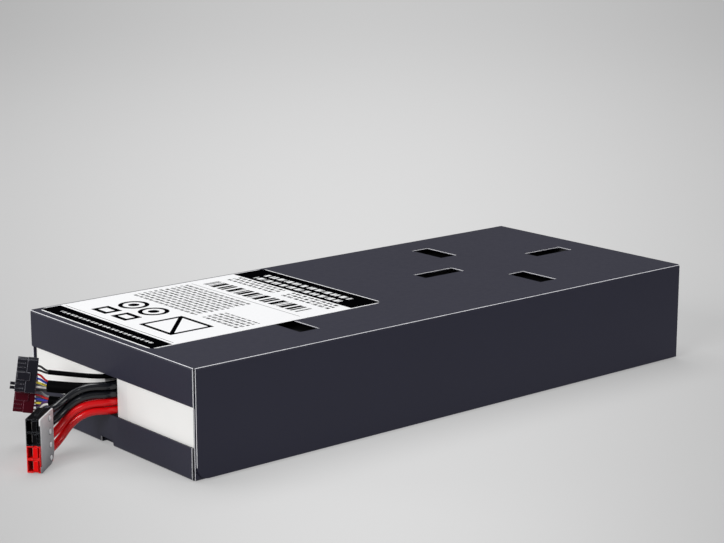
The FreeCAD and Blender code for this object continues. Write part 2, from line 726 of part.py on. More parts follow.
def sense_contacts():
    """Crimped contacts in the ways that are wired, just inside the mating faces."""
    spots = [(SENSE_UPPER_CORNER, way) for _, way in UPPER_WIRES + MIDDLE_WIRES]
    spots += [(SENSE_LOWER_CORNER, way) for _, way in LOWER_WIRES]
    contacts = []
    for corner, (way, column) in spots:
        y, z = WAY_COLUMNS[column], way_height(way)
        shell = box(1.2, 5.0, y - 0.7, y + 0.7, z - 0.7, z + 0.7)
        shell = shell.cut(box(0, 4.0, y - 0.45, y + 0.45, z - 0.45, z + 0.45))
        contacts.append(placed(shell, sense_place(corner)))
    return Part.makeCompound(contacts)


# ---------------------------------------------------------------- all nodes

NODES = {
    "top_cover": top_cover(),
    "bottom_tray": bottom_tray(),
    "cover_screws": cover_screws(),
    "label": label(),
    "base_liner": base_liner(),
    "base_foam_pads": base_foam_pads(),
    "row_foam_strips": row_foam_strips(),
    "end_foam_pads": end_foam_pads(),
    "top_insulating_sheet": top_insulating_sheet(),
    "top_foam_strips": top_foam_strips(),
    "lead_splices": lead_splices(),
    "sense_harness_wrap": sense_harness_wrap(),
    "sense_bundle": sense_bundle(),
    "sense_taps": sense_taps(),
    "power_contacts": placed(Part.makeCompound([contact(i) for i in range(4)]), STACK_PLACE),
    "connector_side_plate": placed(side_plate(), STACK_PLACE),
    "side_plate_pins": placed(plate_pins(), STACK_PLACE),
    "sense_connector_upper": sense_connector_upper(),
    "sense_connector_lower": sense_connector_lower(),
    "sense_contacts": sense_contacts(),
    "sense_wires_upper": sense_wires("sense_wires_upper", "sense_sleeve_upper",
                                     SENSE_UPPER_CORNER, UPPER_WIRES),
    "sense_wires_middle": sense_wires("sense_wires_middle", "sense_sleeve_middle",
                                      SENSE_UPPER_CORNER, MIDDLE_WIRES),
    "sense_wires_lower": sense_wires("sense_wires_lower", "sense_sleeve_lower",
                                     SENSE_LOWER_CORNER, LOWER_WIRES),
}

for side_name, side in SIDES:
    for row, row_name in enumerate(ROW_NAMES):
        NODES["battery_case_%s_%s" % (side_name, row_name)] = battery_case(side, row)
        NODES["battery_lid_%s_%s" % (side_name, row_name)] = battery_lid(side, row)
    NODES["terminals_%s" % side_name] = terminals(side)
    NODES["receptacles_%s" % side_name] = receptacles(side)
    NODES["jumper_%s_front" % side_name] = jumper(side, 0)
    NODES["jumper_%s_rear" % side_name] = jumper(side, 1)

for name, route in INNER_ROUTES.items():
    NODES[name] = tube(name, route, LEAD_D)

HOUSING_NAMES = ("power_housing_black_upper", "power_housing_black_lower",
                 "power_housing_red_upper", "power_housing_red_lower")
for index, name in enumerate(HOUSING_NAMES):
    NODES[name] = placed(housing(index), STACK_PLACE)

for index, (name, heights) in enumerate(LEAD_HEIGHTS.items()):
    NODES[name] = tube(name, lead_route(index, heights), LEAD_D)

for name, (diameter, route) in SLEEVES.items():
    NODES[name] = tube(name, route, diameter)

for name, shape in NODES.items():
    if not shape.isValid():
        print("INVALID", name)
    shape.exportStep("parts/%s.step" % name)
print(len(NODES), "nodes")
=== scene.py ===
import math

import bpy
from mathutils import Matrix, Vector


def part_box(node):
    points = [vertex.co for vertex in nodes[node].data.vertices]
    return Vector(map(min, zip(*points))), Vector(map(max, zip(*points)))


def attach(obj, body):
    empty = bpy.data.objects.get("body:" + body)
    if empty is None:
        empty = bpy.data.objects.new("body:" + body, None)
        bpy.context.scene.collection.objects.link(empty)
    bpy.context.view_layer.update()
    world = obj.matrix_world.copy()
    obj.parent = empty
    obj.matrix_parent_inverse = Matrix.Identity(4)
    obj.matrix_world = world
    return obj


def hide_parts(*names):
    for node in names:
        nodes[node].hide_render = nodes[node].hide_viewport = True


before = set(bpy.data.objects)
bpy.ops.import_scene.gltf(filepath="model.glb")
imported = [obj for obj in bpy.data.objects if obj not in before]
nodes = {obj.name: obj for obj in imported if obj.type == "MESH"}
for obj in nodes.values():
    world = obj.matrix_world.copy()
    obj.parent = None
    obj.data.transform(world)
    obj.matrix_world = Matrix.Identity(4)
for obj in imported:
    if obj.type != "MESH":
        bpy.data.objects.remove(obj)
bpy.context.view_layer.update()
bpy.ops.object.select_all(action="DESELECT")


# ---------------------------------------------------------------------------
# The room: a wide, pale, matt floor that fills the view, four soft lamps and
# an even, pale surround that the paint and metal reflect.

class Value:
    """A shader socket, or anything worked out from one, in a Python expression."""

    def __init__(self, finish, socket):
        self.finish = finish
        self.socket = socket

    def math(self, operation, *sockets):
        return self.finish.node("ShaderNodeMath", {"operation": operation},
                                dict(enumerate(sockets)))

    def __add__(self, other):
        return self.math("ADD", self, other)

    def __sub__(self, other):
        return self.math("SUBTRACT", self, other)

    def __rsub__(self, other):
        return self.math("SUBTRACT", other, self)

    def __mul__(self, other):
        return self.math("MULTIPLY", self, other)

    def __truediv__(self, other):
        return self.math("DIVIDE", self, other)

    def __gt__(self, other):
        return self.math("GREATER_THAN", self, other)

    def __lt__(self, other):
        return self.math("LESS_THAN", self, other)

    def __abs__(self):
        return self.math("ABSOLUTE", self)

    def __mod__(self, other):
        return self.math("FLOORED_MODULO", self, other)

    __radd__ = __add__
    __rmul__ = __mul__

    def least(self, other):
        return self.math("MINIMUM", self, other)

    def most(self, other):
        return self.math("MAXIMUM", self, other)


MM_PER_METRE = 1000.0
BEVEL_SAMPLES = 6
HIGHLIGHT_SHARPNESS = 6.0      # how soon a turning surface takes the full painted edge highlight
MIX_FACTOR, MIX_FIRST, MIX_SECOND, MIX_RESULT = 0, 6, 7, 2    # for a Mix node on colours


class Finish:
    """A material whose nodes are added by one method, around its Principled shader."""

    def __init__(self, name):
        self.material = bpy.data.materials.new(name)
        self.material.use_nodes = True
        self.tree = self.material.node_tree
        self.shader = self.tree.nodes["Principled BSDF"]
        self.place = self.node("ShaderNodeTexCoord", output="Object")

    def node(self, kind, settings=None, sockets=None, output=0):
        made = self.tree.nodes.new(kind)
        for key, value in (settings or {}).items():
            if key == "stops":
                ramp = made.color_ramp.elements
                while len(ramp) < len(value):
                    ramp.new(0.5)
                for stop, (position, colour) in zip(ramp, value):
                    stop.position = position
                    stop.color = colour
            else:
                setattr(made, key, value)
        self.plug(made, sockets or {})
        return Value(self, made.outputs[output])

    def plug(self, made, sockets):
        for key, value in sockets.items():
            if isinstance(value, Value):
                self.tree.links.new(value.socket, made.inputs[key])
            else:
                made.inputs[key].default_value = value

    def millimetres(self):
        """The point on the object as three values in millimetres."""
        scaled = self.node("ShaderNodeVectorMath", {"operation": "SCALE"},
                           {"Vector": self.place, "Scale": MM_PER_METRE})
        return [self.node("ShaderNodeSeparateXYZ", None, {0: scaled}, axis) for axis in "XYZ"]

    def noise(self, size, detail=2.0, stretch=(1, 1, 1)):
        """Grain of the given size in metres, longer along an axis where stretch is more."""
        scale = [1 / (size * s) for s in stretch]
        spot = self.node("ShaderNodeMapping", None, {"Vector": self.place, "Scale": scale})
        return self.node("ShaderNodeTexNoise", None,
                         {"Vector": spot, "Scale": 1.0, "Detail": detail}, "Fac")

    def rounded(self, radius):
        """The normal of the surface with its edges rounded to the radius, in metres."""
        return self.node("ShaderNodeBevel", {"samples": BEVEL_SAMPLES}, {"Radius": radius})

    def edge_highlight_mask(self, radius):
        """0 on flat skin, towards 1 where the surface turns within the radius, in metres; the mask
        of a painted edge highlight.
        """
        flat = self.node("ShaderNodeNewGeometry", output="Normal")
        turn = self.node("ShaderNodeVectorMath", {"operation": "DOT_PRODUCT"},
                         {0: self.rounded(radius), 1: flat}, "Value")
        return ((1.0 - turn) * HIGHLIGHT_SHARPNESS).least(1.0)

    def mix(self, factor, first, second):
        return self.node("ShaderNodeMix", {"data_type": "RGBA"},
                         {MIX_FACTOR: factor, MIX_FIRST: first, MIX_SECOND: second},
                         MIX_RESULT)

    def bump(self, height, distance, strength=1.0, edge_radius=0.0):
        sockets = {"Height": height, "Distance": distance, "Strength": strength}
        if edge_radius:
            sockets["Normal"] = self.rounded(edge_radius)
        return self.node("ShaderNodeBump", None, sockets, "Normal")

    def set(self, **sockets):
        """Sets or links the Principled shader's sockets, and gives the material."""
        names = {key: key.replace("_", " ").title() for key in sockets}
        names.update({"ior": "IOR", "specular": "Specular IOR Level"})
        self.plug(self.shader, {names[key]: value for key, value in sockets.items()})
        return self.material


def rgb(red, green, blue):
    return (red, green, blue, 1.0)


METRE_PER_MM = 0.001
GLOW_HEADING = math.radians(40.2)
GLOW_FAR = 0.515          # the glow's strength far off
GLOW_RISE = 1.878         # metres over which it gets there
GLOW_START = 3.368
GLOW_LOWEST = 0.35        # metres in front of the case's centre where it is weakest
GLOW_SIDES = 0.445        # how much weaker it is off to the sides
GLOW_SPREAD = 0.337       # how fast its width grows with distance
GLOW_NARROW = 2.50        # the distance at which it has no width


def smooth_floor():
    """Matt pale floor that takes the object's shadow, with a glow in view and in reflections."""
    finish = Finish("pale_floor")
    drift = finish.noise(size=1.5)
    tone = finish.mix(drift, rgb(0.29, 0.29, 0.29), rgb(0.30, 0.30, 0.30))
    x, y, _ = finish.millimetres()
    ahead = METRE_PER_MM * (x * math.sin(GLOW_HEADING) + y * math.cos(GLOW_HEADING))
    aside = METRE_PER_MM * (x * math.cos(GLOW_HEADING) - y * math.sin(GLOW_HEADING))
    reach = abs(ahead + GLOW_LOWEST) + GLOW_START
    rise = reach * reach / (reach * reach + GLOW_RISE ** 2)
    spread = (reach - GLOW_NARROW) * GLOW_SPREAD
    sides = aside * aside / (aside * aside + spread * spread)
    strength = (GLOW_FAR * rise - GLOW_SIDES * sides).most(0.0)
    seen = finish.node("ShaderNodeLightPath", output="Is Camera Ray")
    for ray in ("Is Glossy Ray", "Is Transmission Ray"):
        seen = seen.most(finish.node("ShaderNodeLightPath", output=ray))
    glow = finish.mix(strength * seen, rgb(0, 0, 0), rgb(1, 1, 1))
    return finish.set(base_color=tone, roughness=0.9, specular=0.1, emission_color=glow,
                      emission_strength=1.0)


FLOOR_SIZE = 40
FLOOR_SQUARES = 8
FLOOR_LEVEL = -0.0006     # just clear of the tray's underside

bpy.ops.mesh.primitive_grid_add(x_subdivisions=FLOOR_SQUARES, y_subdivisions=FLOOR_SQUARES,
                                size=FLOOR_SIZE, location=(0, 0, FLOOR_LEVEL))
floor = bpy.context.object
floor.name = "floor"
floor.data.materials.append(smooth_floor())


def lamp(name, place, target, size, watts):
    """A soft oblong lamp that faces the target."""
    bpy.ops.object.light_add(type="AREA", location=place)
    made = bpy.context.object
    made.name = name
    made.data.shape = "RECTANGLE"
    made.data.size, made.data.size_y = size
    made.data.energy = watts
    made.rotation_euler = (Vector(target) - Vector(place)).to_track_quat("-Z", "Y").to_euler()


lamp("key_lamp", place=(-2.3, -0.7, 1.15), target=(-0.1, 0, 0), size=(1.1, 0.9), watts=33)
lamp("side_lamp", place=(-1.7, 1.5, 0.55), target=(-0.2, 0, 0.03), size=(1.0, 0.6), watts=13)
lamp("fill_lamp", place=(0.7, -2.3, 0.9), target=(0, 0, 0), size=(1.4, 1.1), watts=20)
lamp("top_lamp", place=(0.1, 0.7, 2.3), target=(0, 0, 0), size=(1.9, 1.5), watts=33)

SURROUND_TONE = rgb(0.80, 0.80, 0.81)
SURROUND_STRENGTH = 0.28

world = bpy.data.worlds.new("pale_surround")
bpy.context.scene.world = world
world.use_nodes = True
surround = world.node_tree.nodes["Background"].inputs
surround["Color"].default_value = SURROUND_TONE
surround["Strength"].default_value = SURROUND_STRENGTH

CAMERA_PLACE = (-0.9102, -1.0668, 0.4080)
CAMERA_DIP = 12.812       # degrees below level
CAMERA_HEADING = 40.165   # degrees from +Y towards +X
CAMERA_LENS = 93.18
CAMERA_SENSOR = 36
CAMERA_REACH = 100

bpy.ops.object.camera_add(location=CAMERA_PLACE)
camera = bpy.context.object
camera.rotation_euler = (math.radians(90 - CAMERA_DIP), 0, math.radians(-CAMERA_HEADING))
camera.data.lens = CAMERA_LENS
camera.data.sensor_width = CAMERA_SENSOR
camera.data.clip_end = CAMERA_REACH
bpy.context.scene.camera = camera
bpy.context.scene.view_settings.view_transform = "Standard"


# ---------------------------------------------------------------------------
# Case: a tray and a cover folded from 1.2 mm steel sheet and powder coated a
# dark blue grey. The coat has a fine orange peel, and thin painted highlights
# lie on its folds and cut edges.

def give(material, *names):
    """Puts one finish on CAD nodes."""
    for name in names:
        nodes[name].data.materials.clear()
        nodes[name].data.materials.append(material)


def near_line(first, at_first, second, at_second, width, second_width=None):
    """1 within width millimetres of the line where two coordinates have these values."""
    return ((abs(first - at_first) < width)
            * (abs(second - at_second) < (second_width or width)))


def powder_coat(name, lines):
    """Dark blue-grey coat, with a patchy painted highlight where lines gives 1."""
    finish = Finish(name)
    x, y, z = finish.millimetres()
    peel = finish.noise(size=0.0011, detail=3)
    cloud = finish.noise(size=0.09, detail=3)
    tone = finish.mix(cloud, rgb(0.0230, 0.0230, 0.0385), rgb(0.0265, 0.0265, 0.0445))
    # Painted highlight: a near-white tone is mixed in, in patches, along the marked folds and
    # edges.
    painted_highlight = lines(x, y, z)
    patchy_highlight = painted_highlight * (0.55 + 0.9 * finish.noise(size=0.02))
    tone = finish.mix(patchy_highlight, tone, rgb(0.80, 0.80, 0.83))
    return finish.set(base_color=tone, roughness=0.38 + 0.10 * finish.noise(size=0.004),
                      specular=0.16, normal=finish.bump(peel, distance=0.00012, strength=0.35))


_, case_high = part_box("top_cover")
half_length = case_high.x * MM_PER_METRE
half_width = case_high.y * MM_PER_METRE
height = case_high.z * MM_PER_METRE

SHEET = 1.2
CUT_EDGE = 0.06           # depth of the painted highlight on a cut edge's face
FOLD_INSET = 0.4          # from the outer faces to the middle of a fold
FOLD_HIGHLIGHT = 0.36
FAR_FOLD_DROP = 2.2       # the far fold's painted highlight is on its outer face, just below the bend
FAR_FOLD_HIGHLIGHT = 0.3
COVER_SETBACK = 1.5       # from the case's front to the cut edge of the cover's skirts
COVER_REAR_SETBACK = 1.6
SKIRT_INSET = 0.3
SKIRT_HIGHLIGHT = 0.32
COVER_FLANGE_END = 102.1
COVER_FLANGE_INSET = 0.3
COVER_FLANGE_HIGHLIGHT = 0.4
SLOT_EDGE_DROP = 0.5
SLOT_EDGE_HIGHLIGHT = 0.28
# Centre x, centre y to either side, and half the size in x and in y.
SLOTS = ((-120.8, 57.0, 9.0, 18.5), (116.7, 57.0, 9.0, 18.5),
         (69.7, 0.0, 20.7, 7.7), (193.0, 0.0, 20.7, 7.7))


def cover_highlight_lines(x, y, z):
    """1 on the cover's folds and on the cut edges of its skirts, flanges and slots, where
    highlights are painted.
    """
    side = abs(y)
    edges = near_line(y, -half_width + FOLD_INSET, z, height - FOLD_INSET, FOLD_HIGHLIGHT)
    edges = edges.most(near_line(y, half_width, z, height - FAR_FOLD_DROP, FAR_FOLD_HIGHLIGHT))
    edges = edges.most(near_line(abs(x), half_length - FOLD_INSET, z, height - FOLD_INSET,
                                 FOLD_HIGHLIGHT))
    for skirt_end in (-half_length + COVER_SETBACK, half_length - COVER_REAR_SETBACK):
        edges = edges.most(near_line(x, skirt_end, side, half_width - SKIRT_INSET,
                                     CUT_EDGE, SKIRT_HIGHLIGHT))
    edges = edges.most(near_line(side, COVER_FLANGE_END, abs(x),
                                 half_length - COVER_FLANGE_INSET, CUT_EDGE, COVER_FLANGE_HIGHLIGHT))
    for centre_x, centre_side, half_x, half_y in SLOTS:
        rim = ((abs(x - centre_x) < half_x + CUT_EDGE)
               * (abs(side - centre_side) < half_y + CUT_EDGE))
        edges = edges.most(rim * (abs(z - height + SLOT_EDGE_DROP) < SLOT_EDGE_HIGHLIGHT))
    return edges


TRAY_SETBACK = 1.0        # from the case's front to the cut edge of the tray's sides
TRAY_SIDE_INSET = 1.9
TRAY_SIDE_HIGHLIGHT = 0.3
TRAY_FLANGE_END = 99.5
TRAY_FLANGE_INSET = 0.4
TRAY_FLANGE_HIGHLIGHT = 0.42
NOTCH_SIDE = 11.3
NOTCH_HEIGHT = 4.4


def tray_highlight_lines(x, y, z):
    """1 on the cut edges of the tray's sides, of its front band and of the band's notch, where
    highlights are painted.
    """
    corner = near_line(x, -half_length + TRAY_SETBACK, abs(y), half_width - TRAY_SIDE_INSET,
                       CUT_EDGE, TRAY_SIDE_HIGHLIGHT)
    flange_end = near_line(abs(y), TRAY_FLANGE_END, x, -half_length + TRAY_FLANGE_INSET,
                           CUT_EDGE, TRAY_FLANGE_HIGHLIGHT)
    notch = near_line(y, NOTCH_SIDE, x, -half_length + SHEET / 2, CUT_EDGE, SHEET / 2)
    notch = notch * (z < NOTCH_HEIGHT)
    return corner.most(flange_end).most(notch)


give(powder_coat("cover_coat", cover_highlight_lines), "top_cover")
give(powder_coat("tray_coat", tray_highlight_lines), "bottom_tray")


# ---------------------------------------------------------------------------
# Cover screws: three zinc-plated pan-head screws in the rear flange, with a
# cross drive, turned down to the paint.

def plated(name, tone, rough):
    """Plated metal with a fine, even grain."""
    finish = Finish(name)
    streak = finish.noise(size=0.0006, detail=3)
    colour = finish.mix(streak, rgb(*[c * 0.82 for c in tone]), rgb(*tone))
    return finish.set(base_color=colour, metallic=1.0, roughness=rough + 0.12 * streak,
                      normal=finish.bump(streak, distance=0.00004, strength=0.4))


give(plated("screw_zinc", (0.66, 0.66, 0.67), rough=0.28), "cover_screws")


# ---------------------------------------------------------------------------
# Packing: closed-cell foam pads and strips and thin flame-retardant sheets
# that keep the blocks from rattling and from touching the steel.

FOAM_CELLS = 1400.0       # cells to a metre


def foam():
    finish = Finish("packing_foam")
    cells = finish.node("ShaderNodeTexVoronoi", None,
                        {"Vector": finish.place, "Scale": FOAM_CELLS}, "Distance")
    tone = finish.mix(cells, rgb(0.020, 0.020, 0.022), rgb(0.045, 0.045, 0.048))
    return finish.set(base_color=tone, roughness=0.92,
                      normal=finish.bump(cells, distance=0.0002, strength=0.6))


def insulating_sheet():
    finish = Finish("insulating_sheet")
    grain = finish.noise(size=0.002)
    tone = finish.mix(grain, rgb(0.007, 0.007, 0.008), rgb(0.012, 0.012, 0.013))
    return finish.set(base_color=tone, roughness=0.50 + 0.1 * grain, specular=0.08,
                      normal=finish.bump(grain, distance=0.00005, strength=0.3))


give(foam(), "base_foam_pads", "row_foam_strips", "end_foam_pads", "top_foam_strips")
give(insulating_sheet(), "base_liner", "top_insulating_sheet")


# ---------------------------------------------------------------------------
# Battery blocks: six sealed blocks lying on their sides, each a moulded ABS
# case with a lid welded on, facing a lid of the other column across the
# channel. The moulding is white with a fine spark-eroded texture.

def moulded(name, tone, rough=0.5, edge=0.0, highlight_tone=None, gloss=0.4):
    """Moulded plastic, with edges rounded over the given radius in metres and a painted highlight
    along them.
    """
    finish = Finish(name)
    grain = finish.noise(size=0.0005)
    cloud = finish.noise(size=0.03)
    colour = finish.mix(cloud, rgb(*[c * 0.95 for c in tone]), rgb(*tone))
    # Painted highlight: the edge tone is mixed in along the rounded edges.
    if edge:
        colour = finish.mix(finish.edge_highlight_mask(edge), colour, rgb(*highlight_tone))
    return finish.set(base_color=colour, roughness=rough + 0.12 * grain, specular=gloss,
                      normal=finish.bump(grain, distance=0.00003, strength=0.5,
                                         edge_radius=edge))


blocks = [f"{side}_{row}" for side in ("near", "far") for row in ("front", "middle", "rear")]
give(moulded("block_case_abs", (0.96, 0.955, 0.935), gloss=0.2),
     *[f"battery_case_{block}" for block in blocks])
give(moulded("block_lid_abs", (0.92, 0.918, 0.905)),
     *[f"battery_lid_{block}" for block in blocks])
give(plated("tab_tin", (0.80, 0.76, 0.66), rough=0.3), "terminals_near", "terminals_far")
give(moulded("boot_nylon", (0.32, 0.02, 0.025), rough=0.35),
     "receptacles_near", "receptacles_far")


# ---------------------------------------------------------------------------
# Wiring in the channel: jumpers between blocks, a lead from each end of both
# strings to a row of crimped splices, and a taped bundle of voltage-sense
# wires with a tap to each jumper.

def insulation(name, tone, rough=0.24, gloss=0.3):
    """Smooth, slightly glossy wire insulation, drawn out along X."""
    finish = Finish(name)
    grain = finish.noise(size=0.0016, detail=3, stretch=(3, 1, 1))
    cloud = finish.noise(size=0.012)
    colour = finish.mix(cloud, rgb(*[c * 0.86 for c in tone]), rgb(*tone))
    return finish.set(base_color=colour, roughness=rough + 0.10 * grain, specular=gloss,
                      normal=finish.bump(grain, distance=0.00006, strength=0.3))


TAPE_THREADS = 1.4        # threads of the cloth to a millimetre
TAPE_TURN = 9.0
TAPE_LAP = 0.5            # width of the step where one turn laps the last
TAPE_SLANT = 0.5


def harness_tape():
    """Cloth tape wound round the wires in slanting turns."""
    finish = Finish("harness_tape")
    x, y, z = finish.millimetres()
    weave = (abs((x * TAPE_THREADS) % 1.0 - 0.5)
             + abs(((y + z) * TAPE_THREADS) % 1.0 - 0.5))
    lap = ((x + TAPE_SLANT * z) % TAPE_TURN < TAPE_LAP)
    tone = finish.mix(weave, rgb(0.006, 0.006, 0.007), rgb(0.018, 0.018, 0.020))
    return finish.set(base_color=tone, roughness=0.72,
                      normal=finish.bump(weave + lap, distance=0.0002, strength=0.5))


black_insulation = insulation("black_insulation", (0.006, 0.007, 0.010), rough=0.13, gloss=0.6)
red_insulation = insulation("red_insulation", (0.88, 0.003, 0.006), rough=0.17, gloss=0.5)
give(black_insulation, "jumper_near_front", "jumper_near_rear", "jumper_far_front",
     "jumper_far_rear", "inner_lead_near_rear", "inner_lead_far_rear")
give(red_insulation, "inner_lead_near_front", "inner_lead_far_front")
give(moulded("splice_nylon", (0.08, 0.14, 0.42), rough=0.3), "lead_splices")
give(harness_tape(), "sense_harness_wrap", "sense_bundle")
give(insulation("tap_insulation", (0.45, 0.45, 0.44)), "sense_taps")


# ---------------------------------------------------------------------------
# Power leads: four stranded-copper leads, two with black and two with red
# insulation. They leave the splices in the channel, cross the open end of the
# case, and curve down into the stacked power connector.

CORD_RESOLUTION = 16
CORD_SIDES = 8            # extra points in each quarter of a cord's round


def flex(name, points, diameter, material):
    """A round cord along one smooth curve, riding on the case."""
    curve = bpy.data.curves.new(name, "CURVE")
    curve.dimensions = "3D"
    spline = curve.splines.new("NURBS")
    spline.points.add(len(points) - 1)
    for spot, point in zip(spline.points, points):
        spot.co = (*point, 1.0)
    spline.order_u = 3
    spline.use_endpoint_u = True
    spline.resolution_u = CORD_RESOLUTION
    curve.bevel_depth = diameter / 2
    curve.bevel_resolution = CORD_SIDES
    curve.use_fill_caps = True
    curve.materials.append(material)
    made = bpy.data.objects.new(name, curve)
    bpy.context.scene.collection.objects.link(made)
    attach(made, "root")
    return made


LEAD_DIAMETER = 0.0054
# Each lead's x and y, from the splices to its housing, and then its own heights.
LEAD_PLAN = ((-0.212, -0.0048), (-0.226, -0.0048), (-0.2414, -0.0042), (-0.2551, 0.0013),
             (-0.2651, 0.0075), (-0.2763, 0.0075), (-0.28626, 0.00388), (-0.29377, -0.00272))
LEADS = {
    "black_upper": (0.0433, 0.0433, 0.0435, 0.0451, 0.0403, 0.0338, 0.03255, 0.03255),
    "black_lower": (0.0377, 0.0377, 0.0379, 0.0391, 0.0341, 0.0258, 0.02325, 0.02325),
    "red_upper": (0.0321, 0.0321, 0.0323, 0.0329, 0.0277, 0.0174, 0.01395, 0.01395),
    "red_lower": (0.0264, 0.0264, 0.0263, 0.0273, 0.0205, 0.0085, 0.00465, 0.00465),
}
for name, heights in LEADS.items():
    colour = name.split("_")[0]
    points = [(x, y, z) for (x, y), z in zip(LEAD_PLAN, heights)]
    lead = flex(f"lead_{name}", points, LEAD_DIAMETER,
                black_insulation if colour == "black" else red_insulation)
    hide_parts(f"power_lead_{name}")
    along = [nodes[f"power_housing_{name}"]]
    if name == "black_upper":
        along += [nodes["power_contacts"], nodes["connector_side_plate"], nodes["side_plate_pins"]]


# ---------------------------------------------------------------------------
# Power connector: four single-pole housings, two dark over two red, moulded
# in polycarbonate and slid together on their rails. Each holds a silver-plated
# contact, and a brushed steel bracket is pinned to their sides.

# Both housings get a painted highlight along their edges, in the lighter edge tone.
give(moulded("housing_black", (0.0015, 0.0015, 0.0022), rough=0.34, edge=0.00018,
             highlight_tone=(0.24, 0.25, 0.28), gloss=0.06),
     "power_housing_black_upper", "power_housing_black_lower")
give(moulded("housing_red", (0.84, 0.0015, 0.002), rough=0.34, edge=0.0002,
             highlight_tone=(0.95, 0.22, 0.20), gloss=0.12),
     "power_housing_red_upper", "power_housing_red_lower")
give(plated("contact_silver", (0.16, 0.15, 0.14), rough=0.35), "power_contacts")

PLATE_HEIGHT = 37.2
PLATE_CORNER = (-307.8, -21.3)
PLATE_YAW = math.radians(41.3)
HOUSING_PITCH = 9.3
PIN_ALONG = 19.6          # from the plate's corner to its pins
PIN_SHADE_RING = (1.7, 2.5)     # the painted ring of shade round a pin, inside and outside radius


def zinc_and_painted_sheen():
    """Brushed zinc plate, with a painted sheen at its top that fades into painted shade towards
    its foot.
    """
    finish = Finish("bracket_zinc")
    x, y, z = finish.millimetres()
    streak = finish.noise(size=0.0006, detail=3, stretch=(1, 1, 14))
    cloud = finish.noise(size=0.012)
    # Painted light: the tone rises from painted shade at the foot to a painted sheen at the top.
    rise = (z * (1 / PLATE_HEIGHT) + 0.16 * cloud - 0.08).least(1.0).most(0.0)
    tone = finish.mix(rise, rgb(0.17, 0.17, 0.19), rgb(0.90, 0.90, 0.91))
    tone = finish.mix(0.12 * streak, tone, rgb(0.30, 0.30, 0.31))
    along = ((x - PLATE_CORNER[0]) * math.cos(PLATE_YAW)
             + (y - PLATE_CORNER[1]) * math.sin(PLATE_YAW) - PIN_ALONG)
    level = z % HOUSING_PITCH - HOUSING_PITCH / 2
    away = along * along + level * level
    # Painted shade: a dark ring round each pin.
    ring = (away > PIN_SHADE_RING[0] ** 2) * (away < PIN_SHADE_RING[1] ** 2)
    tone = finish.mix(0.7 * ring, tone, rgb(0.05, 0.05, 0.06))
    return finish.set(base_color=tone, metallic=0.35 + 0.1 * streak,
                      roughness=0.42 + 0.1 * streak,
                      normal=finish.bump(streak, distance=0.00003, strength=0.4,
                                         edge_radius=0.0004))


give(zinc_and_painted_sheen(), "connector_side_plate")
# The pins get a painted highlight along their edges.
give(moulded("pin_steel", (0.86, 0.86, 0.88), rough=0.30, edge=0.0003,
             highlight_tone=(0.95, 0.95, 0.96)),
     "side_plate_pins")


# ---------------------------------------------------------------------------
# Sense sleeves: three lengths of black shrink tubing over thin wires, which
# leave the taped harness above and behind the power leads.

def shrink_tubing():
    """Dull black tubing, rippled by the wires in it."""
    finish = Finish("shrink_tubing")
    ripple = finish.noise(size=0.0025, detail=3)
    tone = finish.mix(ripple, rgb(0.0010, 0.0010, 0.0014), rgb(0.0030, 0.0030, 0.0036))
    return finish.set(base_color=tone, roughness=0.45 + 0.14 * ripple, specular=0.02,
                      normal=finish.bump(ripple, distance=0.0003, strength=0.5))


tubing = shrink_tubing()
# Diameter, length and the points of the smooth line, from the taped harness outwards.
SLEEVES = {
    "upper": (0.0034, 0.0662, ((-0.212, 0.0033, 0.0485), (-0.226, 0.0033, 0.0485),
                               (-0.241, 0.0046, 0.0487), (-0.2564, 0.0140, 0.0509),
                               (-0.2717, 0.0254, 0.0533))),
    "middle": (0.0084, 0.0684, ((-0.212, 0.0027, 0.0410), (-0.226, 0.0027, 0.0410),
                                (-0.2418, 0.0024, 0.0411), (-0.2590, 0.0113, 0.0419),
                                (-0.2718, 0.0263, 0.0430))),
    "lower": (0.0070, 0.0676, ((-0.212, 0.0033, 0.0309), (-0.226, 0.0033, 0.0309),
                               (-0.2411, 0.0031, 0.0307), (-0.2573, 0.0117, 0.0308),
                               (-0.2708, 0.0272, 0.0321))),
}
for name, (diameter, length, points) in SLEEVES.items():
    flex(f"sleeve_{name}", points, diameter, tubing)
    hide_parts(f"sense_sleeve_{name}")


# ---------------------------------------------------------------------------
# Sense connectors: two nylon housings of two rows of eight ways, one dark grey
# and one maroon, each with a latch arm and tin-plated crimped contacts.

# Both connectors get a painted highlight along their edges, in the lighter edge tone.
give(moulded("connector_grey", (0.013, 0.013, 0.019), rough=0.36, edge=0.0003,
             highlight_tone=(0.46, 0.46, 0.52), gloss=0.10),
     "sense_connector_upper")
give(moulded("connector_maroon", (0.062, 0.002, 0.008), rough=0.36, edge=0.0003,
             highlight_tone=(0.50, 0.20, 0.26), gloss=0.10),
     "sense_connector_lower")
give(plated("contact_tin", (0.82, 0.81, 0.76), rough=0.25), "sense_contacts")


# ---------------------------------------------------------------------------
# Sense wires: thin colour-coded wires that fan out of the sleeves' ends to the
# backs of their ways.

WIRE_DIAMETER = 0.0015
WIRE_COLOURS = {"black": (0.020, 0.020, 0.022), "red": (0.66, 0.018, 0.020),
                "blue": (0.030, 0.060, 0.52), "yellow": (0.86, 0.70, 0.06),
                "white": (0.88, 0.88, 0.86), "grey": (0.20, 0.20, 0.21),
                "violet": (0.10, 0.03, 0.16)}
wire_finish = {colour: insulation(f"{colour}_wire", tone, rough=0.34)
               for colour, tone in WIRE_COLOURS.items()}
